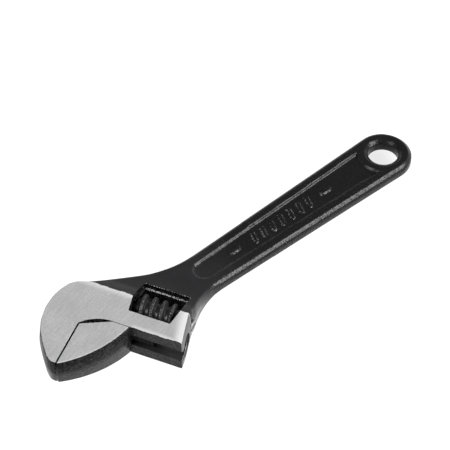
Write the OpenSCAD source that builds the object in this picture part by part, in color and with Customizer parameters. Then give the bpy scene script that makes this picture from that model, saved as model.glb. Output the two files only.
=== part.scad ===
// Adjustable wrench, nominal length 150 mm, jaws closed.
// Origin: axis of the hanging hole, on the middle plane of the forging.
// +X runs along the handle towards the head, +Z is up through the thickness.

/* [Handle] */
// Thickness of the handle and of the hanging eye
handle_t = 5.6; // [5.2:0.1:6.4]
// Half width of the handle beside the eye
handle_eye_hw = 10; // [9.6:0.1:10]
// Half width of the handle at the neck
handle_neck_hw = 8.05; // [7.8:0.05:8.2]
// Radius of the long handle edges
edge_r = 2.1; // [1:0.1:2.4]
// Outer radius of the hanging eye
eye_r = 10.1; // [10:0.1:10.4]
// How far each face of the eye stands above the handle
eye_rise = 0.1; // [0.05:0.05:0.3]

/* [Recess and marks] */
// Depth of the long recess in each face
recess_d = 1; // [0.6:0.1:1.2]
// Half width of the recess at the eye end
recess_eye_hw = 6.1; // [5:0.1:6.3]
// Half width of the recess at the head end
recess_head_hw = 4; // [3:0.1:4.2]
// Height of the raised marks on the recess floor
mark_h = 0.4; // [0.2:0.1:0.6]

/* [Hanging hole] */
// Radius of the straight land of the hanging hole
hole_r = 5.4; // [5:0.1:5.8]
// Length of the straight land
hole_land = 2.4; // [2:0.2:3]
// Radius of the hole at the two faces
hole_face_r = 6.15; // [5.9:0.05:6.4]

/* [Head] */
// Thickness of the head across the arm
head_t = 13.2; // [12.8:0.1:13.4]
// Drop of each ground face per millimetre towards the jaw tips
face_slope = 0.08; // [0.05:0.01:0.1]
// Angle of the jaw faces to the handle
jaw_angle = 25.6; // [22.5:0.1:27]
// Length of the arm beyond the fixed jaw face
arm_len = 35.1; // [34.8:0.1:35.4]
// Height of the slot along the arm edge
slot_h = 4.8; // [4.4:0.1:5]
// Radius of the guide bore behind the slot
guide_r = 3.9; // [3.8:0.05:3.95]

/* [Sliding jaw] */
// Gap between the two jaw faces when closed
jaw_gap = 0.4; // [0.1:0.05:0.5]
// Radius of the round rack
rack_r = 3.8; // [3.6:0.05:3.8]
// Thickness of the web that joins the jaw to the rack
web_t = 4.5; // [4:0.1:4.5]
// Length of the rack
rack_len = 21.5; // [20:0.5:22]
// Depth of the rack teeth
tooth_d = 1.6; // [1.6:0.05:1.7]

/* [Worm] */
// Axial pitch of the worm thread and of the rack
pitch = 3.5; // [3.5:0.1:3.5]
// Crest radius of the worm
worm_r = 5.5; // [5.3:0.1:5.5]
// Root radius of the worm
worm_root_r = 3.9; // [3.6:0.1:3.9]
// Length of the worm
worm_len = 14.8; // [14.4:0.1:14.8]
// Depth of the knurl on the crests
knurl_d = 0.22; // [0:0.01:0.3]
// Radius of the worm pin
pin_r = 1.7; // [1.5:0.1:1.8]
// Radial clearance of the worm on its pin
pin_clear = 0.08; // [0.05:0.01:0.1]

/* [Hidden] */
$fn = 72;
eps = 0.01;
ht = handle_t/2;
zt = head_t/2;
head_o = [127.5, -9.4];        // foot of the fixed jaw face line, on the arm edge
guide_v = -5;                  // guide bore axis, behind the arm edge
worm_v = -12.9;                // worm axis, behind the arm edge
// Worm window (v, u): both end walls widen from the near wall to the worm axis
window = [[-6.1, 13], [-6.1, 27.85], [-12.4, 28.7], [-20.4, 28.8], [-20.4, 13], [-19.8, 12.3], [-12.6, 11.7]];
worm_u0 = 13;                  // first end of the worm
rack_u0 = 2.5;                 // first end of the rack, closed
thread_u = 16.05;              // a worm crest facing the rack sits here
lead_a = atan(pitch/(PI*(worm_r+worm_root_r)));
steel = [0.72, 0.72, 0.71];
black = [0.09, 0.09, 0.10];

// Point of the head plane (v towards the tips, u in the opening direction) in the XY plane
function hp(v, u) = [head_o[0]+v*cos(jaw_angle)-u*sin(jaw_angle),
                     head_o[1]+v*sin(jaw_angle)+u*cos(jaw_angle)];
// Smooth curve through a list of points, n steps between two of them
function cr(a, b, c, d, t) = 0.5*(2*b+(c-a)*t+(2*a-5*b+4*c-d)*t*t+(3*b-a-3*c+d)*t*t*t);
function curve(p, n) = [for (i=[0:len(p)-2], k=[0:n-1])
    cr(p[max(i-1, 0)], p[i], p[i+1], p[min(i+2, len(p)-1)], k/n)];
// Arc of a circle, from angle a0 to a1
function arc(c, r, a0, a1, n) = [for (i=[0:n]) c+r*[cos(a0+(a1-a0)*i/n), sin(a0+(a1-a0)*i/n)]];
// Height of the upper surface along v: ground face, then the forged neck slope
function top_z(v) = v > 0 ? zt-face_slope*v
    : v > -12.4 ? zt
    : v < -33 ? ht-0.15-0.05*(-33-v)
    : ht-0.15+(zt-ht+0.15)*pow(1-(-12.4-v)/20.6, 1.4);

module head_frame() {
    translate([head_o[0], head_o[1], 0]) rotate([0, 0, jaw_angle]) children();
}

// Cylinder along the opening direction, from u0 to u1, in the head frame
module ucyl(v, r, u0, u1) {
    translate([v, u0, 0]) rotate([-90, 0, 0]) cylinder(r=r, h=u1-u0);
}

// Solid between the two head faces, wide enough for both jaws
module face_wedge() {
    vs = [-43, -33, -30, -26.5, -23, -19.5, -16, -12.4, 0, 25];
    up = [for (v=vs) [v, top_z(v)]];
    dn = [for (i=[len(vs)-1:-1:0]) [vs[i], -top_z(vs[i])]];
    head_frame() translate([0, 70, 0]) rotate([90, 0, 0]) linear_extrude(140) polygon(concat(up, dn));
}

// Section of a slab whose edge at y is rounded top and bottom
module round_edge(y, t, r) {
    translate([-40, -t/2]) square([40+y-r, t]);
    translate([-40, -t/2+r]) square([40+y, t-2*r]);
    for (s=[-1, 1]) translate([y-r, s*(t/2-r)]) circle(r);
}

// One rounded long side of the handle; the two together make the tapered bar
module handle_side() {
    a = atan((handle_eye_hw-handle_neck_hw)/80);
    rotate([0, 0, -a]) translate([-2, 0, 0]) rotate([90, 0, 90])
        linear_extrude(96) round_edge(handle_eye_hw, handle_t, edge_r);
}

module handle_bar() {
    intersection() {
        handle_side();
        mirror([0, 1, 0]) handle_side();
        translate([1.7, -20, -20]) cube([87.3, 40, 40]);
    }
    rotate_extrude() intersection() {
        round_edge(eye_r, handle_t+2*eye_rise, edge_r);
        translate([0, -20]) square([40, 40]);
    }
}

// Plan outline of the neck and head
module head_plan() {
    front = [[82, 5.5], [86, 7.3], [89.6, 8.3], [92.8, 9.2], [95.2, 10.3], [98, 12]];
    arm_end = [hp(-15.5, 31.9), hp(-12.2, 32.5), hp(-8, 33.6), hp(-4, 34.5), hp(-0.8, arm_len), hp(-0.15, arm_len-0.1),
               hp(0, arm_len-0.7)];
    throat = [for (p=arc([13.6, 10.3], 13.6, 180, 226, 14)) hp(p[0], p[1])];
    face = [hp(4.9, 0), hp(21.6, 0)];
    outer = [hp(22.1, -0.5), hp(22, -1.7), hp(20.2, -4.2), hp(15.7, -7.8), hp(11.3, -10.7),
             hp(6.6, -12.3), hp(1.5, -13), hp(-3, -12.5), hp(-7.2, -11.3), hp(-9.8, -9.9),
             hp(-11.7, -7.7), hp(-13.2, -4.5), hp(-15.8, -0.9)];
    back = [[110.4, -15.4], [105.3, -13], [102.2, -11.5], [99, -10.15], [95.5, -9.1], [92, -8.4],
            [89.6, -8], [86, -7], [82, -5.5]];
    polygon(concat(curve(front, 4), arm_end, throat, face, curve(concat(outer, back), 4), [back[8]]));
}

module head_blank() {
    intersection() {
        translate([0, 0, -10]) linear_extrude(20) head_plan();
        face_wedge();
    }
}

// One long recess, open upwards, with a round head end and an end that follows the eye
module recess_plan(g) {
    difference() {
        polygon(concat([[5, -recess_eye_hw+g], [5, recess_eye_hw-g]],
            arc([83.8, 0], recess_head_hw-g, 88, -88, 16)));
        circle(9.2+g);
    }
}

module recesses() {
    for (s=[0, 1]) mirror([0, 0, s]) {
        translate([0, 0, ht-recess_d]) linear_extrude(recess_d+2) recess_plan(0.45);
        translate([0, 0, ht-recess_d*0.4]) linear_extrude(recess_d+2) recess_plan(0);
    }
}

// Raised plain marks on each recess floor: a row of slanted bars between two long bars
module marks() {
    z0 = ht-recess_d-0.5;
    for (s=[0, 1]) mirror([0, 0, s]) translate([0, 0, z0]) linear_extrude(0.5+mark_h) {
        for (i=[0:6]) translate([36+i*4.2, 0]) rotate(-20) square([1.5, 5], center=true);
        for (x=[28, 70]) translate([x, 0]) square([4.6, 1.5], center=true);
    }
}

module hang_hole() {
    z1 = hole_land/2;
    g = (hole_face_r-hole_r)/(ht-z1);
    rotate_extrude() polygon([[0, -ht-1], [hole_face_r+g, -ht-1], [hole_r, -z1], [hole_r, z1],
                              [hole_face_r+g, ht+1], [0, ht+1]]);
}

// Space behind the arm edge: guide bore, slot, worm window and pin hole
module mechanism_space() {
    head_frame() {
        ucyl(guide_v, guide_r, 1, 45);
        translate([guide_v, 9.6, -slot_h/2]) cube([12, 40, slot_h]);
        translate([0, 0, -10]) linear_extrude(20) polygon(window);
        ucyl(worm_v, pin_r+0.05, 6.5, 40);
        ucyl(worm_v, 3, 27, 28.9);
        ucyl(worm_v, 2.35, 30.2, 40);
    }
}

// Forged handle and fixed jaw, one piece
module body() {
    color(black) difference() {
        union() {
            difference() {
                union() {
                    handle_bar();
                    head_blank();
                }
                recesses();
                hang_hole();
            }
            marks();
        }
        mechanism_space();
    }
}

// Plan outline of the sliding jaw, in the head frame
module jaw_plan() {
    a = [0.1, 16.7];
    b = [21.7, 1.6];
    m = (a+b)/2;
    d = norm(b-a);
    r = 40;
    k = sqrt(r*r-d*d/4);
    n = [a[1]-b[1], b[0]-a[0]]/d;
    c = m-n*k;
    a0 = atan2(a[1]-c[1], a[0]-c[0]);
    a1 = atan2(b[1]-c[1], b[0]-c[0]);
    polygon(concat(arc(c, r, a0, a1, 20),
        [[22.1, 1], [21.9, jaw_gap], [5.1, jaw_gap], [4.7, 0.6], [0.02, 10.2], [0.02, 16.6]]));
}

// Trapezoid groove between two rack teeth
module rack_groove() {
    w1 = pitch*0.30;
    w0 = pitch*0.17;
    rotate([lead_a, 0, 0]) translate([0, 0, -6]) linear_extrude(12)
        polygon([[-3, -w1-0.5], [-3, w1+0.5], [0, w1], [tooth_d, w0+0.12], [tooth_d, -w0-0.12], [0, -w1]]);
}

// Sliding jaw with its web and round rack, one piece
module sliding_jaw() {
    color(steel) head_frame() {
        intersection() {
            translate([0, 0, -10]) linear_extrude(20) jaw_plan();
            rotate([0, 0, -jaw_angle]) translate([-head_o[0], -head_o[1], 0]) face_wedge();
        }
        translate([guide_v+1, 10.2, -web_t/2]) cube([6, 6, web_t]);
        difference() {
            ucyl(guide_v, rack_r, rack_u0, rack_u0+rack_len);
            for (k=[-4:2]) translate([guide_v-rack_r, thread_u+k*pitch, 0]) rack_groove();
        }
    }
}

// Helical thread ridge, knurled on its crest
module thread() {
    n = 48;
    u0 = worm_u0-0.7*pitch;
    m = round((worm_len+1.4*pitch)/pitch*n);
    a0 = 360*(u0-thread_u)/pitch;
    rb = worm_root_r-0.4;
    pts = [for (i=[0:m]) let (a=a0+360*i/n, u=u0+pitch*i/n,
            rc=worm_r-(i%2)*knurl_d, w1=pitch*0.15, w0=pitch*0.31)
        each [for (q=[[rb, -w0], [rc, -w1], [rc, w1], [rb, w0]])
            [q[0]*cos(a), u+q[1], -q[0]*sin(a)]]];
    faces = concat([[3, 2, 1, 0]], [[4*m, 4*m+1, 4*m+2, 4*m+3]],
        [for (i=[0:m-1], j=[0:3]) let (k=(j+1)%4) each
            [[4*i+j, 4*i+4+k, 4*i+4+j], [4*i+j, 4*i+k, 4*i+4+k]]]);
    translate([worm_v, 0, 0]) polyhedron(pts, faces, convexity=10);
}

// Worm with its axle bore and a pocket for the spring
module worm_knurl() {
    color(black) head_frame() difference() {
        union() {
            ucyl(worm_v, worm_root_r, worm_u0, worm_u0+worm_len);
            intersection() {
                thread();
                ucyl(worm_v, worm_r+1, worm_u0+0.02, worm_u0+worm_len-0.02);
            }
        }
        ucyl(worm_v, pin_r+pin_clear, 5, 40);
        ucyl(worm_v, 2.9, worm_u0+worm_len-2.6, 40);
    }
}

// Slotted screw pin that carries the worm
module worm_pin() {
    color([0.35, 0.35, 0.35]) head_frame() difference() {
        union() {
            ucyl(worm_v, pin_r, 7, 30.3);
            ucyl(worm_v, 2.3, 30.2, 33.1);
        }
        translate([worm_v-4, 32.2, -0.4]) cube([8, 3, 0.8]);
    }
}

// Small compression spring around the pin, in the worm's pocket
module worm_spring() {
    coils = 4;
    n = 20;
    s = 8;
    wire = 0.25;
    ra = 2.35;
    ua = worm_u0+worm_len-2.6+0.12+wire;
    ub = 28.9-wire;
    m = coils*n;
    pts = [for (i=[0:m], j=[0:s-1]) let (a=360*i/n, b=360*j/s, q=ra+wire*cos(b),
            t=i < n ? 0.10*i/n : i > m-n ? 0.90+0.10*(i-m+n)/n : 0.10+0.80*(i-n)/(m-2*n))
        [worm_v+q*cos(a), ua+(ub-ua)*t+wire*sin(b), -q*sin(a)]];
    faces = concat([[for (j=[s-1:-1:0]) j]], [[for (j=[0:s-1]) m*s+j]],
        [for (i=[0:m-1], j=[0:s-1]) let (k=(j+1)%s) each
            [[i*s+j, i*s+s+k, i*s+s+j], [i*s+j, i*s+k, i*s+s+k]]]);
    color([0.6, 0.6, 0.6]) head_frame() polyhedron(pts, faces, convexity=10);
}

body();
sliding_jaw();
worm_knurl();
worm_pin();
worm_spring();
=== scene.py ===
"""Adjustable wrench: the looks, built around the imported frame.

Every visible piece but the spring is a distance field turned into a mesh. Shapes are worked out
in millimetres, in the frame's axes, and set in metres. Around the head they use two more axes
with their origin at the foot of the fixed jaw's face, on the edge of the arm: u runs along the
arm, the way the jaw slides, and v runs across it, out to the jaw tips. So v is negative in the
arm, in the worm window and in the neck.
"""

import math

import bpy
import numpy as np
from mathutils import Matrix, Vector


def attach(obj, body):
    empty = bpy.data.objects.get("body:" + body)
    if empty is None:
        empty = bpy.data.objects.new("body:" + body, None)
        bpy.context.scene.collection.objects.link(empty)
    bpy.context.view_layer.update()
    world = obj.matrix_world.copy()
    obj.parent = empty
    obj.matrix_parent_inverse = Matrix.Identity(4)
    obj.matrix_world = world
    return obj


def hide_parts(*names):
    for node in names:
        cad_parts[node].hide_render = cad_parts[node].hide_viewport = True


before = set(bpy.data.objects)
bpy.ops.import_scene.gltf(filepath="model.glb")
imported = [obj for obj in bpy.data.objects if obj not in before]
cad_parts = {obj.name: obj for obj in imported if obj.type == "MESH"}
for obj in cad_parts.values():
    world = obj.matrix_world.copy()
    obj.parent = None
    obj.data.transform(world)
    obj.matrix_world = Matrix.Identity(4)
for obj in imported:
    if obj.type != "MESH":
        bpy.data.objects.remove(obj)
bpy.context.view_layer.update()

# ---------------------------------------------------------------- sizes in mm
# The main ones are the CAD's. LAND and the window's ledge are the looks' own.
JAW_ANGLE = math.radians(25.6)
CA, SA = math.cos(JAW_ANGLE), math.sin(JAW_ANGLE)
OX, OY = 127.5, -9.4  # origin of u and v
HT, ZT = 2.8, 6.6  # half thickness of the handle and of the head
SLOPE = 0.08  # fall of a ground face per millimetre towards the jaw tips
EDGE_R, NECK_EDGE_R = 2.1, 0.7  # edge radius of the handle and of the neck
EYE_R = 10.1
HOLE_R = 5.4  # hanging hole
LAND = 1.7  # height above mid thickness where its dished mouth starts; 1.2 in the CAD

RECESS_D = 1.0
RECESS_X0, RECESS_X1 = 5.0, 83.8  # from the eye end to the centre of the round head end
RECESS_W0, RECESS_W1 = 6.1, 4.0  # half widths at those two places
RECESS_EYE_R = 9.2  # radius of the eye end, around the hanging hole
MARK_H, MARK_R = 0.4, 0.3  # height and corner radius of the raised marks

GUIDE_V, GUIDE_R, RACK_R = -5.0, 3.9, 3.8
SLOT, WEB = 2.4, 2.25  # half heights of the slot along the arm and of the jaw's web
JAW_GAP, JAW_R = 0.4, 40.0  # gap of the closed jaws, radius of the jaw's outer arc
TOOTH_D = 1.6
LEDGE_Z = 2.5  # height of the ledge on the worm window's far side; the CAD has no ledge

WORM_V, WORM_R, ROOT_R = -12.9, 5.5, 3.9
WORM_U0, WORM_U1 = 13.0, 27.8
PITCH, THREAD_U = 3.5, 16.05
LEAD = math.atan(PITCH / (math.pi * (WORM_R + ROOT_R)))
POCKET_R, POCKET_U = 2.9, WORM_U1 - 2.6  # spring pocket in the end of the worm
SEAT_U = 28.9  # where the spring rests in the arm
PIN_R, PIN_HEAD_R = 1.7, 2.3

FAR = 1e9


def hp(v, u):
    return (OX + v * CA - u * SA, OY + v * SA + u * CA)


def vu(x, y):
    dx, dy = x - OX, y - OY
    return dx * CA + dy * SA, -dx * SA + dy * CA


# ---------------------------------------------------------------- distance fields
def smax(a, b, k):
    """The larger of two fields, with a fillet of about k where they meet."""
    h = np.maximum(k - np.abs(a - b), 0.0) / k
    return np.maximum(a, b) + h * h * k * 0.25


def smin(a, b, k):
    return -smax(-a, -b, k)


def rounded(a, b, r):
    """Where two fields overlap, with an edge of radius r."""
    a, b = a + r, b + r
    return np.minimum(np.maximum(a, b), 0) + np.hypot(np.maximum(a, 0), np.maximum(b, 0)) - r


def span(t, lo, hi):
    """Distance to the slab from lo to hi, negative inside."""
    return np.abs(t - (lo + hi) / 2) - (hi - lo) / 2


def ease(t):
    t = np.clip(t, 0, 1)
    return t * t * (3 - 2 * t)


def ground_z(v):
    """Height of a ground face: level over the arm, then sloping down gently to the jaw tips."""
    drop = SLOPE * (v + np.sqrt(v * v + 25.0)) / 2 - SLOPE * 0.25
    return ZT - np.maximum(drop, 0)


def spline(p, n):
    """A smooth curve through the points p, in n steps for each pair."""
    p = np.array(p, float)
    out = []
    for i in range(len(p) - 1):
        a, b, c, d = p[max(i - 1, 0)], p[i], p[i + 1], p[min(i + 2, len(p) - 1)]
        for t in np.arange(n) / n:
            square, cube = 2 * a - 5 * b + 4 * c - d, 3 * b - a - 3 * c + d
            out.append(0.5 * (2 * b + (c - a) * t + square * t * t + cube * t ** 3))
    out.append(p[-1])
    return out


def arc(centre, r, start, end, n):
    turns = np.linspace(start, end, n)
    return [(centre[0] + r * math.cos(t), centre[1] + r * math.sin(t)) for t in turns]


def poly_sdf(px, py, pts):
    """Signed distance to a closed outline, negative inside."""
    pts = np.array(pts, float)
    d = np.full(px.shape, FAR)
    inside = np.zeros(px.shape, bool)
    for (ax, ay), (bx, by) in zip(pts, np.roll(pts, -1, axis=0)):
        ex, ey = bx - ax, by - ay
        wx, wy = px - ax, py - ay
        t = np.clip((wx * ex + wy * ey) / (ex * ex + ey * ey + 1e-12), 0, 1)
        d = np.minimum(d, (wx - ex * t) ** 2 + (wy - ey * t) ** 2)
        if ay != by:
            inside ^= ((ay > py) != (by > py)) & (px < ex * (py - ay) / ey + ax)
    return np.where(inside, -1, 1) * np.sqrt(d)


class Plan:
    """An outline's distance on a fine grid of step h, read back by interpolation."""

    def __init__(self, pts, lo, hi, h=0.2):
        self.lo, self.h = lo, h
        xs, ys = np.arange(lo[0], hi[0] + h, h), np.arange(lo[1], hi[1] + h, h)
        gx, gy = np.meshgrid(xs, ys, indexing="ij")
        self.g = poly_sdf(gx, gy, pts)

    def __call__(self, x, y):
        g = self.g
        fx = np.clip((x - self.lo[0]) / self.h, 0, g.shape[0] - 1.001)
        fy = np.clip((y - self.lo[1]) / self.h, 0, g.shape[1] - 1.001)
        i, j = fx.astype(int), fy.astype(int)
        tx, ty = fx - i, fy - j
        near = g[i, j] * (1 - tx) + g[i + 1, j] * tx
        far = g[i, j + 1] * (1 - tx) + g[i + 1, j + 1] * tx
        return near * (1 - ty) + far * ty


# ---------------------------------------------------------------- meshing
def crossings(f, F, ax, h):
    """Where f = 0 crosses the grid's lines, and the four cells around each crossing."""
    n = F.shape
    neg = F < 0
    step = np.eye(3, dtype=int)
    points, cells = [], []
    for a in range(3):
        b, c = (a + 1) % 3, (a + 2) % 3
        first, second = [slice(None)] * 3, [slice(None)] * 3
        first[a], second[a] = slice(0, -1), slice(1, None)
        idx = np.argwhere(neg[tuple(first)] != neg[tuple(second)])
        inner = (idx[:, b] > 0) & (idx[:, b] < n[b] - 1) & (idx[:, c] > 0) & (idx[:, c] < n[c] - 1)
        idx = idx[inner]
        f0, f1 = F[tuple(idx.T)], F[tuple((idx + step[a]).T)]
        base = np.stack([ax[k][idx[:, k]] for k in range(3)], 1)
        t0, t1 = np.zeros(len(idx)), np.ones(len(idx))
        g0, g1 = f0.copy(), f1.copy()
        for _ in range(3):  # close in on the crossing from both sides
            t = t0 + (t1 - t0) * np.clip(g0 / (g0 - g1), 0.02, 0.98)
            p = base.copy()
            p[:, a] += t * h
            g = f(*p.T)
            same = (g < 0) == (g0 < 0)
            t0, g0 = np.where(same, t, t0), np.where(same, g, g0)
            t1, g1 = np.where(same, t1, t), np.where(same, g1, g)
        p = base.copy()
        p[:, a] += (t0 + (t1 - t0) * np.clip(g0 / (g0 - g1), 0, 1)) * h
        quad = np.stack([idx, idx - step[b], idx - step[b] - step[c], idx - step[c]], 1)
        outward = f0 > 0
        quad[outward] = quad[outward][:, ::-1]
        points.append(p)
        cells.append(quad)
    return np.concatenate(points), np.concatenate(cells)


def dual_contour(f, lo, hi, h):
    """Vertices and quads of f = 0 on a grid of step h, with edges kept. f takes three arrays."""
    ax = [np.arange(lo[k], hi[k] + h, h) for k in range(3)]
    n = [len(a) for a in ax]
    F = np.empty(n)
    slab = 24  # layers worked out at once
    for i in range(0, n[0], slab):
        F[i:i + slab] = f(*np.meshgrid(ax[0][i:i + slab], ax[1], ax[2], indexing="ij"))
    F[F == 0] = 1e-9
    P, cells = crossings(f, F, ax, h)

    e = 0.02
    N = np.stack([f(*(P + s).T) - f(*(P - s).T) for s in np.eye(3) * e], 1)
    N /= np.linalg.norm(N, axis=1, keepdims=True) + 1e-12

    key = (cells[..., 0] * n[1] + cells[..., 1]) * n[2] + cells[..., 2]
    uniq, inv = np.unique(key.ravel(), return_inverse=True)
    inv = inv.reshape(key.shape)
    m = len(uniq)
    flat, who = inv.ravel(), np.repeat(np.arange(len(P)), 4)
    count = np.bincount(flat, minlength=m)
    mean = np.stack([np.bincount(flat, P[who, k], m) for k in range(3)], 1) / count[:, None]
    # each cell's vertex is the point nearest to all its tangent planes, held near their mean
    D = ((P[who] - mean[flat]) * N[who]).sum(1)
    ATA, ATB = np.zeros((m, 3, 3)), np.zeros((m, 3))
    for i in range(3):
        ATB[:, i] = np.bincount(flat, N[who, i] * D, m)
        for j in range(i, 3):
            ATA[:, i, j] = ATA[:, j, i] = np.bincount(flat, N[who, i] * N[who, j], m)
    ATA += np.eye(3) * 0.06
    V = mean + np.linalg.solve(ATA, ATB[..., None])[..., 0]
    cell = np.stack([uniq // (n[1] * n[2]), (uniq // n[2]) % n[1], uniq % n[2]], 1)
    low = np.stack([ax[k][cell[:, k]] for k in range(3)], 1)
    return np.clip(V, low - 0.1 * h, low + 1.1 * h), inv


def to_object(name, V, faces, sharp=28):
    """A smooth-shaded object from vertices in mm, with edges sharper than `sharp` degrees kept."""
    faces = np.asarray(faces)
    corners = faces.shape[1]
    me = bpy.data.meshes.new(name)
    me.vertices.add(len(V))
    me.vertices.foreach_set("co", (V * 0.001).astype(np.float32).ravel())
    me.loops.add(faces.size)
    me.loops.foreach_set("vertex_index", faces.astype(np.int32).ravel())
    me.polygons.add(len(faces))
    me.polygons.foreach_set("loop_start", np.arange(0, faces.size, corners, dtype=np.int32))
    me.update(calc_edges=True)
    me.validate()
    me.polygons.foreach_set("use_smooth", np.ones(len(me.polygons), bool))
    me.set_sharp_from_angle(angle=math.radians(sharp))
    ob = bpy.data.objects.new(name, me)
    bpy.context.scene.collection.objects.link(ob)
    return ob


# ---------------------------------------------------------------- forging: handle, neck, head
def forging_outline():
    """Once round the forging: eye, back of the handle and head, jaw tip, arm, front of the neck."""
    eye = [(-EYE_R * math.sin(t), EYE_R * math.cos(t)) for t in np.linspace(0.05, math.pi - 0.05, 40)]
    back = spline([(84, -8.0), (88, -8.0), (92, -8.45), (95.6, -9.25), (99.1, -10.3), (102.3, -11.7),
                   (105.4, -13.2), (110.5, -15.65), hp(-15.8, -1.1), hp(-13.2, -4.7), hp(-11.7, -7.8),
                   hp(-9.8, -10.1), hp(-7.2, -11.6), hp(-3, -12.9), hp(1.5, -13.3), hp(6.6, -12.7),
                   hp(11.3, -11.1), hp(15.7, -8.2), hp(20.2, -4.5), hp(22.1, -1.8), hp(22.2, 0.6)], 6)
    arm = [hp(12, 12), hp(3, 35.5), hp(0, 35.3), hp(-4, 34.7), hp(-8, 33.8), hp(-12.2, 32.75)]
    neck = spline([hp(-15.5, 32.15), (98.1, 12.2), (95.3, 10.5), (92.8, 9.35), (89.6, 8.5),
                   (86, 8.05)], 6)
    return (eye + [(1.0, -10.08), (40, -9.1), (80, -8.15)] + back + arm + neck
            + [(80, 8.15), (40, 9.1), (1.0, 10.08)])


forging = Plan(forging_outline(), (-16, -32), (156, 30))
throat = arc((13.6, 10.3), 13.6, math.radians(180), math.radians(226), 24)
mouth = Plan(throat + [(4.9, 0), (34, 0), (34, 46), (0, 46)], (-30, -16), (32, 44))
window = Plan([(-6.1, 13), (-6.1, 27.85), (-12.4, 28.7), (-20.4, 28.8), (-20.4, 13), (-19.8, 12.3),
               (-12.6, 11.7)], (-34, 2), (8, 40))


def neck_height(v):
    t = np.clip((-12.4 - v) / 20.6, 0, 1)
    return HT - 0.1 + (ZT - HT + 0.12) * (1 - t) ** 1.4


def raw_forging(x, y, az, v):
    """Bar with rounded edges, then the rising neck, then a drafted head, before any grinding."""
    top = np.where(v > -12.4, ZT + 0.02 + 0.5 * np.clip((v + 12.4) / 3, 0, 1), neck_height(v))
    top = np.where(x < 60, HT, top)
    draft = 0.11 * ease((x - 84) / 22)
    side = forging(x, y) + draft * np.maximum(az - 0.6, 0)
    sharp = ease((x - 80) / 14)
    edge = rounded(side, az - top, EDGE_R * (1 - sharp) + NECK_EDGE_R * sharp)
    # the handle's edge on the arm's side is a flat facet with soft borders
    facet = smax(smax(side, az - top, 0.5), (side + az - top) * 0.7071 + 0.94, 0.4)
    near = (1 - sharp) * np.clip(0.5 + y / 6, 0, 1)
    return side, edge * (1 - near) + facet * near


def recess(x, y, az):
    """The long recess, with sloping walls that meet its floor in a fillet."""
    hw = RECESS_W0 - (RECESS_W0 - RECESS_W1) * (x - RECESS_X0) / (RECESS_X1 - RECESS_X0)
    side = np.where(x > RECESS_X1, np.hypot(x - RECESS_X1, y) - RECESS_W1, (np.abs(y) - hw) * 0.9997)
    side = smax(side, RECESS_EYE_R - np.hypot(x, y), 0.5)
    return smax((side + (HT - az) * 0.45) * 0.91, HT - RECESS_D - az, 0.7)


def marks(x, y):
    """Plan of the raised marks: a row of leaning bars between two dashes."""
    lean = math.radians(20)
    c, s = math.cos(lean), math.sin(lean)
    d = np.full(x.shape, FAR)
    for i in range(7):
        bx = x - (36 + i * 4.2)
        short, long = np.abs(bx * c - y * s) - 0.75, np.abs(bx * s + y * c) - 2.5
        d = np.minimum(d, rounded(short, long, MARK_R))
    for cx in (28, 70):
        d = np.minimum(d, rounded(np.abs(x - cx) - 2.3, np.abs(y) - 0.75, MARK_R))
    return d


def body_sdf(x, y, z):
    az = np.abs(z)
    v, u = vu(x, y)
    side, raw = raw_forging(x, y, az, v)
    ground = az - ground_z(v)
    f = np.maximum(raw, ground)
    f = np.where((v > -12) & (x > 100), np.maximum(f, smax(side, ground, 0.4)), f)
    f = smax(f, -recess(x, y, az), 0.5)
    f = smin(f, smax(marks(x, y), az - (HT - RECESS_D + MARK_H), 0.25), 0.25)
    hole = np.hypot(x, y) - (HOLE_R + 1.45 * np.clip((az - LAND) / 1.1, 0, 1.2))
    f = smax(f, -hole * 0.6, 0.35)
    # machined mouth, window with its ledge, guide bore and slot
    f = smax(f, -mouth(v, u), 0.16)
    ledge = 0.5 * np.clip((LEDGE_Z - az) / 0.2, 0, 1) * (v < -14)
    f = smax(f, -(window(v, u) + ledge), 0.3)
    bore = np.maximum(np.hypot(v - GUIDE_V, z) - GUIDE_R, 1.0 - u)
    slot = np.maximum(np.maximum(az - SLOT, 9.6 - u), GUIDE_V - v)
    f = smax(f, -np.minimum(bore, slot), 0.12)
    # pin hole, its counterbore in the arm's end, and the spring's seat
    rp = np.hypot(v - WORM_V, z)
    pin = np.maximum(rp - PIN_R - 0.05, 6.5 - u)
    pin = np.minimum(pin, np.maximum(rp - 2.35, 30.2 - u))
    pin = np.minimum(pin, np.maximum(np.maximum(rp - 3.0, 27 - u), u - SEAT_U))
    return smax(f, -pin, 0.12)


# ---------------------------------------------------------------- sliding jaw with web and rack
tip, heel = np.array([0.1, 16.7]), np.array([21.7, 1.6])  # ends of the jaw's outer arc in v, u
chord = np.linalg.norm(heel - tip)
across = np.array([tip[1] - heel[1], heel[0] - tip[0]]) / chord
JAW_C = (tip + heel) / 2 - across * math.sqrt(JAW_R ** 2 - chord * chord / 4)
ends = [math.atan2(q[1] - JAW_C[1], q[0] - JAW_C[0]) for q in (tip, heel)]
jaw_area = ((-10, -10), (27, 25), 0.15)
jaw_out = Plan(arc(JAW_C, JAW_R, *ends, 30)
               + [(22.1, 1.0), (22.1, -6), (-6, -6), (-6, 16.7)], *jaw_area)
jaw_cut = Plan([(21.9, JAW_GAP), (5.1, JAW_GAP), (4.7, 0.6), (0.02, 10.2), (0.02, 20), (26, 20),
                (26, JAW_GAP)], *jaw_area)


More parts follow.
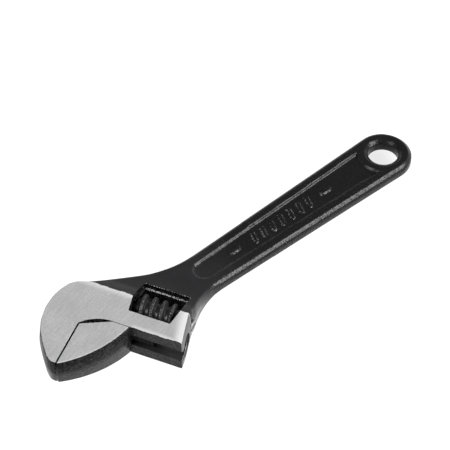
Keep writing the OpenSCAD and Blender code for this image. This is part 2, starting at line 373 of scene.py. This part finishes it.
def jaw_sdf(v, u, z):
    az = np.abs(z)
    out = jaw_out(v, u) + 0.07 * np.maximum(az - 0.5, 0)
    out = np.maximum(out, jaw_cut(v, u))
    jaw = smax(out, az - ground_z(v), 0.5)
    web = np.maximum(np.maximum(az - WEB, span(v, -4.0, 2.0)), span(u, 10.2, 16.2))
    rack = np.maximum(np.hypot(v - GUIDE_V, z) - RACK_R, span(u, 2.5, 24.0))
    # straight teeth across the rack, turned by the thread's lead angle
    depth = v - (GUIDE_V - RACK_R)
    along = u * math.cos(LEAD) - z * math.sin(LEAD)
    half_w = PITCH * 0.30 - (PITCH * 0.13 - 0.12) * np.clip(depth / TOOTH_D, -1, 1.2)
    for k in range(-4, 3):
        off = np.abs(along - (THREAD_U + k * PITCH) * math.cos(LEAD))
        rack = smax(rack, -np.maximum((off - half_w) * 0.94, depth - TOOTH_D), 0.15)
    return smin(jaw, smin(web, rack, 0.15), 0.2)


# ---------------------------------------------------------------- worm, pin, spring
def worm_sdf(v, u, z):
    dv = v - WORM_V
    rr = np.hypot(dv, z)
    phi = np.arctan2(-z, dv)
    off = (u - THREAD_U - PITCH * phi / (2 * math.pi)) % PITCH
    off = np.minimum(off, PITCH - off)
    crest = WORM_R - 0.07 + 0.06 * np.cos(phi * 34)  # a fine knurl
    flank = (off - (0.54 + 0.26 * (WORM_R - rr))) * 0.93
    ridge = smax(flank, rr - crest, 0.45)
    f = smin(rr - ROOT_R, ridge, 0.5)
    f = smax(f, span(u, WORM_U0, WORM_U1), 0.25)
    hole = np.minimum(rr - PIN_R - 0.08, np.maximum(rr - POCKET_R, POCKET_U - u))
    return smax(f, -hole, 0.15)


def pin_sdf(v, u, z):
    rr = np.hypot(v - WORM_V, z)
    shank = np.maximum(rr - PIN_R, span(u, 7.0, 30.3))
    head = smax(rr - PIN_HEAD_R, span(u, 30.2, 33.1), 0.35)
    screw_slot = np.maximum(np.abs(z) - 0.4, 32.2 - u)
    return smax(np.minimum(shank, head), -screw_slot, 0.08)


def in_head(V):
    x, y = hp(V[:, 0], V[:, 1])
    return np.stack([x, y, V[:, 2]], 1)


def spring_mesh(coils=4, steps=40, sides=12, wire=0.25, mean_r=2.35):
    """A coil with its first and last turns closed, between the worm's pocket and the arm."""
    u0, u1 = POCKET_U + 0.12 + wire, SEAT_U - wire
    last = coils * steps
    V, Q = [], []
    for i in range(last + 1):
        a = 2 * math.pi * i / steps
        if i < steps:
            t = 0.10 * i / steps
        elif i > last - steps:
            t = 0.90 + 0.10 * (i - last + steps) / steps
        else:
            t = 0.10 + 0.80 * (i - steps) / (last - 2 * steps)
        for j in range(sides):
            b = 2 * math.pi * j / sides
            r = mean_r + wire * math.cos(b)
            u = u0 + (u1 - u0) * t + wire * math.sin(b)
            V.append((WORM_V + r * math.cos(a), u, -r * math.sin(a)))
            k = (j + 1) % sides
            if i < last:
                Q.append([i * sides + j, i * sides + k, (i + 1) * sides + k, (i + 1) * sides + j])
    return in_head(np.array(V)), Q


def place(ob, node, body):
    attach(ob, body)
    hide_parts(node)
    return ob


coarse = 1.0


def build(name, f, lo, hi, h, node, body, in_uv=True):
    V, quads = dual_contour(f, lo, hi, h * coarse)
    if in_uv:
        V = in_head(V)
    return place(to_object(name, V, quads), node, body)


forging_ob = build("forged_body", body_sdf, (-11, -27.5, -7.4), (149.5, 23.5, 7.4), 0.40,
                   "body", "wrench_body", in_uv=False)
jaw_ob = build("jaw", jaw_sdf, (-9.6, -0.6, -7.2), (22.9, 24.8, 7.2), 0.25,
               "sliding_jaw", "jaw")
worm_ob = build("worm", worm_sdf, (-18.9, 12.2, -6), (-6.9, 27.9, 6), 0.15,
                "worm_knurl", "worm")
pin_ob = build("slotted_pin", pin_sdf, (-15.6, 6.5, -2.7), (-10.2, 33.6, 2.7), 0.15,
               "worm_pin", "wrench_body")
spring_ob = place(to_object("spring", *spring_mesh(), 60), "worm_spring", "wrench_body")


# ---------------------------------------------------------------- shader nodes
class Nodes:
    """The node tree of a material or world, with short names for the nodes it is made of."""

    def __init__(self, owner, shader="Principled BSDF"):
        owner.use_nodes = True
        self.owner, self.tree = owner, owner.node_tree
        self.inputs = self.tree.nodes[shader].inputs
        self.coords = self.new("ShaderNodeTexCoord").outputs

    def new(self, kind, **settings):
        nd = self.tree.nodes.new(kind)
        for key, val in settings.items():
            setattr(nd, key, val)
        return nd

    def put(self, socket, val):
        if isinstance(val, bpy.types.NodeSocket):
            self.tree.links.new(val, socket)
        else:
            socket.default_value = val

    def fill(self, nd, output, **vals):
        for key, val in vals.items():
            self.put(nd.inputs[key], val)
        return nd.outputs[output]

    def math(self, op, *vals):
        nd = self.new("ShaderNodeMath", operation=op)
        for socket, val in zip(nd.inputs, vals):
            self.put(socket, val)
        return nd.outputs[0]

    def add(self, a, b):
        return self.math("ADD", a, b)

    def sub(self, a, b):
        return self.math("SUBTRACT", a, b)

    def mul(self, a, *others):
        for b in others:
            a = self.math("MULTIPLY", a, b)
        return a

    def max(self, a, b):
        return self.math("MAXIMUM", a, b)

    def length(self, a, b):
        return self.math("SQRT", self.add(self.mul(a, a), self.mul(b, b)))

    def noise(self, scale, detail=3.0, rough=0.55, vec=None):
        return self.fill(self.new("ShaderNodeTexNoise"), "Fac", Vector=vec or self.coords["Object"],
                         Scale=scale, Detail=detail, Roughness=rough)

    def ramp(self, val, lo, hi, a=0.0, b=1.0):
        """From a at lo to b at hi, eased and held at both ends. lo may be above hi."""
        nd = self.new("ShaderNodeMapRange", clamp=True, interpolation_type="SMOOTHSTEP")
        for socket, x in zip(nd.inputs, (val, lo, hi, a, b)):
            self.put(socket, x)
        return nd.outputs[0]

    def band(self, val, out0, in0, in1, out1):
        """One from in0 to in1, fading to nothing at out0 and out1."""
        return self.mul(self.ramp(val, out0, in0), self.ramp(val, out1, in1))

    def mix(self, fac, a, b):
        return self.fill(self.new("ShaderNodeMix", data_type="RGBA"), "Result", Factor=fac, A=a, B=b)

    def mixf(self, fac, a, b):
        return self.fill(self.new("ShaderNodeMix", data_type="FLOAT"), "Result", Factor=fac, A=a, B=b)

    def bump(self, height, dist, strength, normal=None):
        nd = self.new("ShaderNodeBump")
        if normal is not None:
            self.put(nd.inputs["Normal"], normal)
        return self.fill(nd, "Normal", Height=height, Distance=dist, Strength=strength)

    def split(self, vec):
        nd = self.new("ShaderNodeSeparateXYZ")
        self.put(nd.inputs["Vector"], vec)
        return nd.outputs

    def join(self, x=0.0, y=0.0, z=0.0):
        return self.fill(self.new("ShaderNodeCombineXYZ"), "Vector", X=x, Y=y, Z=z)

    def vector(self, op, *vecs):
        nd = self.new("ShaderNodeVectorMath", operation=op)
        for socket, vec in zip(nd.inputs, vecs):
            self.put(socket, vec)
        return nd.outputs["Value" if op == "DOT_PRODUCT" else "Vector"]

    def normal(self):
        return self.new("ShaderNodeNewGeometry").outputs["Normal"]

    def xyz(self):
        """Place on the object, in mm."""
        return [self.mul(axis, 1000.0) for axis in self.split(self.coords["Object"])]


def new_material(name):
    return Nodes(bpy.data.materials.new(name))


def grey(g, tint=0.0):
    return (g, g, g * (1 + tint), 1.0)


def head_coords(n):
    """v, u, height above mid thickness, x and y."""
    x, y, z = n.xyz()
    dx, dy = n.sub(x, OX), n.sub(y, OY)
    v = n.add(n.mul(dx, CA), n.mul(dy, SA))
    u = n.add(n.mul(dx, -SA), n.mul(dy, CA))
    return v, u, n.math("ABSOLUTE", z), x, y


# ---------------------------------------------------------------- materials
def steel(n, v, u):
    """Colour, roughness and fine height of a ground steel face."""
    grain = n.noise(1.1, 3.0, 0.7, n.join(n.mul(v, 0.12), n.add(n.mul(u, 1.5), n.mul(v, 0.36))))
    cloud = n.noise(110.0, 2.0)
    fine = n.noise(1700.0, 2.0, 0.6)
    tone = n.add(n.mul(grain, 0.5), n.mul(fine, 0.55))
    tone = n.add(tone, n.mul(n.sub(cloud, 0.5), 0.35))
    colour = n.mix(n.ramp(tone, 0.25, 0.85), grey(0.45), grey(0.66))
    return colour, n.mixf(fine, 0.34, 0.50), n.add(n.mul(grain, 0.8), fine)


def black(n):
    """Colour, roughness and height of a glossy black coat over a forged skin."""
    skin = n.noise(1700.0, 2.0, 0.6)
    mid = n.noise(650.0, 2.0, 0.5)
    big = n.noise(150.0, 2.0, 0.5)
    pits = n.ramp(n.noise(1500.0, 1.0, 0.5), 0.60, 0.72)
    tone = n.add(n.mul(big, 0.5), n.mul(skin, 0.5))
    colour = n.mix(tone, grey(0.012, 0.05), grey(0.027, 0.05))
    bumps = n.add(n.add(n.mul(skin, 1.2), mid), n.mul(big, 1.2))
    return colour, n.mixf(mid, 0.15, 0.32), n.sub(bumps, n.mul(pits, 0.7))


def tilt(n):
    """One on faces that look straight up or down, nothing on side walls."""
    return n.math("ABSOLUTE", n.split(n.normal())[2])


def wall_of(n):
    return n.ramp(tilt(n), 0.5, 0.2)


def bulge(n, lean, keep, shift):
    """The normal, leaning up above height `shift` and down below it on side walls, as on a forging.

    `keep` scales the lean.
    """
    z = n.sub(n.xyz()[2], shift)
    rise = n.join(z=n.mul(z, lean / ZT, wall_of(n), keep))
    return n.vector("NORMALIZE", n.vector("ADD", n.normal(), rise))


class TwoTone:
    """A forged piece: a black coat, with ground steel where the mask is one.

    c_, r_ and h_ hold the colour, roughness and height of the steel and of the coat.
    """

    def __init__(self, name):
        n = self.n = new_material(name)
        self.v, self.u, self.az, self.x, self.y = head_coords(n)
        self.c_steel, self.r_steel, self.h_steel = steel(n, self.v, self.u)
        self.c_coat, self.r_coat, self.h_coat = black(n)
        # the ground faces, as in ground_z
        root = n.math("SQRT", n.add(n.mul(self.v, self.v), 25.0))
        drop = n.sub(n.mul(n.add(self.v, root), SLOPE / 2), SLOPE * 0.25)
        below = n.sub(n.sub(ZT, n.max(drop, 0.0)), self.az)
        self.mask = n.ramp(below, 0.10, 0.04)
        # side walls are mottled, rougher to the touch and lightly specked
        wall = wall_of(n)
        mottle = n.mix(n.ramp(n.noise(900.0, 3.0, 0.65), 0.42, 0.62), grey(0.0005), grey(0.014))
        specks = n.mul(n.ramp(n.noise(1500.0, 2.0, 0.6), 0.64, 0.76), wall)
        self.coat(wall, mottle)
        self.coat(specks, grey(0.04))
        self.h_coat = n.mul(self.h_coat, n.mixf(wall, 1.0, 2.6))
        self.keep, self.shift = 1.25, 0.0

    def coat(self, where, colour):
        self.c_coat = self.n.mix(where, self.c_coat, colour)

    # steel colour where asked: bare steel, and also painted highlights along edges
    def steel_and_highlight(self, where, colour):
        self.c_steel = self.n.mix(where, self.c_steel, colour)

    def finish(self):
        n = self.n
        height = n.mixf(self.mask, self.h_coat, n.mul(self.h_steel, 0.14))
        n.put(n.inputs["Base Color"], n.mix(self.mask, self.c_coat, self.c_steel))
        n.put(n.inputs["Roughness"], n.mixf(self.mask, self.r_coat, self.r_steel))
        n.put(n.inputs["Metallic"], n.mixf(self.mask, 0.0, 0.5))
        leaning = bulge(n, 0.48, self.keep, self.shift)
        n.put(n.inputs["Normal"], n.bump(height, 0.00010, 0.68, leaning))
        n.inputs["Specular IOR Level"].default_value = 0.17
        return n.owner


def jaw_mat():
    t = TwoTone("jaw_ground")
    n = t.n
    # dull web and rack, and a painted highlight: a pale grey border along the outer arc
    t.r_coat = n.mixf(n.ramp(t.v, -0.9, -0.5), 0.9, t.r_coat)
    inside = n.sub(JAW_R, n.length(n.sub(t.v, JAW_C[0]), n.sub(t.u, JAW_C[1])))
    t.steel_and_highlight(n.ramp(inside, 0.85, 0.45), grey(0.95))
    return t.finish()


def body_mat():
    t = TwoTone("forged_black_and_ground")
    n, v, u, x, y = t.n, t.v, t.u, t.x, t.y
    ragged = n.sub(n.noise(520.0, 3.0, 0.6), 0.5)
    end_lean = n.mul(v, 0.235)  # the arm's end is not square to the arm
    # the ground area ends in a ragged line at the neck, and the arm's front edge is chipped
    t.mask = n.mul(t.mask, n.ramp(n.add(v, n.mul(ragged, 1.2)), -12.7, -12.3))
    arm = n.ramp(u, 16.0, 18.0)
    chipped = n.mul(n.ramp(n.add(v, n.mul(ragged, 1.6)), -0.10, 0.05), arm)
    t.mask = n.mul(t.mask, n.sub(1.0, chipped))
    # painted highlight: paler borders along the ground faces' edges, at the arm's end, at the neck
    # and along the arm's front
    painted_edge_highlight = n.ramp(n.sub(u, end_lean), 30.6, 34.0)
    painted_edge_highlight = n.max(painted_edge_highlight, n.mul(n.ramp(v, -9.8, -12.4), 0.6))
    painted_edge_highlight = n.max(painted_edge_highlight, n.mul(n.ramp(v, -1.8, -0.2), arm, 0.6))
    t.steel_and_highlight(painted_edge_highlight, grey(0.95))
    # bare end of the arm
    bare = n.mul(n.ramp(n.sub(u, n.add(34.9, end_lean)), -0.35, -0.15), n.ramp(v, -12.6, -11.8))
    t.steel_and_highlight(bare, grey(0.14))
    t.mask = n.max(t.mask, bare)

    # smoother coat on the neck and, less so, around the hanging hole
    neck = n.mul(n.ramp(x, 82.0, 90.0), n.ramp(v, -14.0, -17.0))
    calm = n.max(neck, n.ramp(n.length(x, y), 10.5, 8.0, 0.0, 0.55))
    t.h_coat = n.mul(t.h_coat, n.mixf(calm, 1.0, 0.15))
    t.r_coat = n.mixf(neck, t.r_coat, 0.11)
    # painted highlight: ragged light grey lines along the window's far rim and its ledge
    painted_rim_highlight = n.mul(n.band(tilt(n), 0.10, 0.35, 0.94, 0.985), n.band(v, -19.6, -19.8, -20.8, -20.9),
                n.band(u, 12.6, 13.0, 28.8, 29.2))
    t.coat(n.mul(painted_rim_highlight, n.ramp(n.noise(1300.0, 3.0, 0.7), 0.40, 0.54)), grey(0.34))
    # darker coat along the handle, and painted glints: light grey specks on the raised marks' edges
    t.coat(n.ramp(x, 92.0, 62.0, 0.0, 0.55), grey(0.001))
    painted_mark_glints = n.mul(n.band(tilt(n), 0.3, 0.5, 0.93, 0.98), n.band(x, 13.0, 15.0, 76.0, 78.0),
                n.ramp(n.math("ABSOLUTE", y), 3.7, 3.4), n.ramp(t.az, 2.5, 2.4))
    t.coat(n.mul(painted_mark_glints, n.ramp(n.noise(1100.0, 2.0, 0.6), 0.48, 0.58)), grey(0.10))

    # the walls lean most on the handle, less on the neck and not at all on the arm's front
    flat_wall = n.mul(n.ramp(v, -0.6, -0.3), n.ramp(u, 13.0, 15.0))
    t.keep = n.sub(n.sub(1.0, flat_wall), n.mul(neck, 0.5))
    t.keep = n.add(t.keep, n.ramp(x, 84.0, 78.0, 0.0, 1.5))
    t.shift = n.mul(neck, 1.6)
    return t.finish()


def worm_mat():
    n = new_material("worm_black_worn_and_glints")
    v, _, az, _, _ = head_coords(n)
    rr = n.length(n.sub(v, WORM_V), az)
    # light grey, metallic crests: partly worn bare metal, partly a painted highlight along the
    # thread's crests
    crest_wear_and_glint = n.ramp(n.add(rr, n.mul(n.noise(1500.0, 3.0, 0.7), 0.8)), 5.90, 6.0)
    coat, _, height = black(n)
    n.put(n.inputs["Base Color"], n.mix(crest_wear_and_glint, coat, grey(0.33)))
    n.put(n.inputs["Roughness"], n.mixf(crest_wear_and_glint, 0.34, 0.30))
    n.put(n.inputs["Metallic"], n.mixf(crest_wear_and_glint, 0.0, 0.7))
    n.put(n.inputs["Normal"], n.bump(height, 0.00006, 0.7))
    n.inputs["Specular IOR Level"].default_value = 0.28
    return n.owner


def turned_mat(name, g, rough):
    """Turned or drawn steel, with fine rings along u."""
    n = new_material(name)
    v, u, _, _, _ = head_coords(n)
    ring = n.noise(3.0, 3.0, 0.6, n.join(n.mul(u, 3.0), n.mul(v, 0.2)))
    stain = n.noise(800.0, 3.0, 0.6)
    n.put(n.inputs["Base Color"], n.mix(stain, grey(g * 0.6), grey(g * 1.3)))
    n.put(n.inputs["Roughness"], n.mixf(ring, rough - 0.08, rough + 0.12))
    n.put(n.inputs["Normal"], n.bump(ring, 0.00002, 0.5))
    n.inputs["Metallic"].default_value = 0.95
    return n.owner


def dress(ob, mat):
    ob.data.materials.clear()
    ob.data.materials.append(mat)


dress(forging_ob, body_mat())
dress(jaw_ob, jaw_mat())
dress(worm_ob, worm_mat())
dress(pin_ob, turned_mat("pin_steel", 0.30, 0.35))
dress(spring_ob, turned_mat("spring_wire", 0.45, 0.28))

# ---------------------------------------------------------------- floor, in metres from here on
FLOOR_X = 0.07
bpy.ops.mesh.primitive_plane_add(size=6.0, location=(FLOOR_X, 0, -ZT * 0.001))
floor = bpy.context.object
floor.name = "floor"
fm = new_material("floor_pale")
floor_x, floor_y, _ = fm.xyz()


def painted_floor_shadow(cx, cy, r0, r1, low):
    """Painted shadow: the floor's glow is weaker under the tool, around (cx, cy), where little light
    reaches.
    """
    d = fm.length(fm.sub(floor_x, cx - FLOOR_X * 1000), fm.sub(floor_y, cy))
    return fm.ramp(d, r0, r1, low, 1.0)


under_head = painted_floor_shadow(107.1, 3.0, 9.0, 12.5, 0.03)
under_eye = painted_floor_shadow(-4.4, -4.9, 6.5, 8.5, 0.78)
fm.put(fm.inputs["Base Color"], fm.mix(fm.noise(6.0, 2.0), grey(0.10), grey(0.11)))
fm.put(fm.inputs["Emission Strength"], fm.mul(under_head, under_eye))
fm.inputs["Emission Color"].default_value = (1, 1, 1, 1)
fm.inputs["Roughness"].default_value = 0.6
dress(floor, fm.owner)


# ---------------------------------------------------------------- camera and lights
def aimed(name, data, at, to):
    """A camera or lamp at one place that looks at another."""
    ob = bpy.data.objects.new(name, data)
    bpy.context.scene.collection.objects.link(ob)
    ob.location = at
    ob.rotation_euler = (to - at).to_track_quat("-Z", "Y").to_euler()
    return ob


lens = bpy.data.cameras.new("camera")
lens.lens, lens.sensor_width = 160.0, 36.0
lens.clip_start, lens.clip_end = 0.01, 20.0
bpy.context.scene.camera = aimed("camera", lens, Vector((0.3724, 0.33775, 0.5042)),
                                 Vector((0.0654, -0.01045, 0.0028)))

MID = Vector((0.075, 0.0, 0.0))  # middle of the tool
TOWARDS_CAMERA = (0.661, 0.750, 0.0)


def area(name, offset, size, watts):
    lamp = bpy.data.lights.new(name, "AREA")
    lamp.shape = "RECTANGLE"
    lamp.size, lamp.size_y = size
    lamp.energy = watts
    aimed(name, lamp, MID + Vector(offset), MID)


area("key_left", (0.975, -0.13, 0.91), (0.55, 0.55), 15.0)
area("side_right", (-0.45, 0.65, 0.58), (0.6, 0.4), 15.0)

# a bright horizon that fades to a dark ceiling, and is darker behind the camera
studio = bpy.data.worlds.new("studio")
bpy.context.scene.world = studio
sky = Nodes(studio, "Background")
way = sky.coords["Generated"]
upwards = sky.ramp(sky.split(way)[2], 0.10, 0.54, 1.3, 0.05)
sideways = sky.ramp(sky.vector("DOT_PRODUCT", way, TOWARDS_CAMERA), -0.25, 0.30, 1.0, 0.15)
sky.put(sky.inputs["Strength"], sky.mul(upwards, sideways))
sky.inputs["Color"].default_value = (1, 1, 1, 1)
bpy.context.scene.view_settings.view_transform = "Standard"
